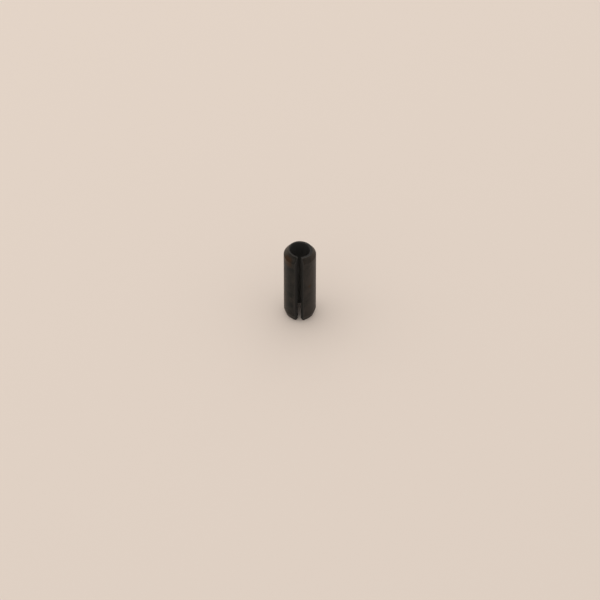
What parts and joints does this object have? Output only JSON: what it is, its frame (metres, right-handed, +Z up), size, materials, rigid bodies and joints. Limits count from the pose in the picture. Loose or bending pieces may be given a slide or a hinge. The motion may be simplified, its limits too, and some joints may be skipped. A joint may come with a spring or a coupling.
{
  "type": "spring roll pin",
  "caption": "Slotted spring pin: a strip of dark spring steel rolled into a split tube, both ends chamfered so that it can be driven into a hole and grip by its own spring.",
  "frame": {"origin": "centre of the lower end, on the axis of the round bend, where the pin stands", "axes": "+Z up the pin towards its slanted upper end, -Y out of the slot, +X towards the low side of the upper end"},
  "size_m": [0.0054, 0.0054, 0.0146],
  "materials": {
    "blackened_spring_steel": "matte"
  },
  "bodies": {
    "root": {"spring_pin": "blackened_spring_steel"}
  },
  "joints": []
}
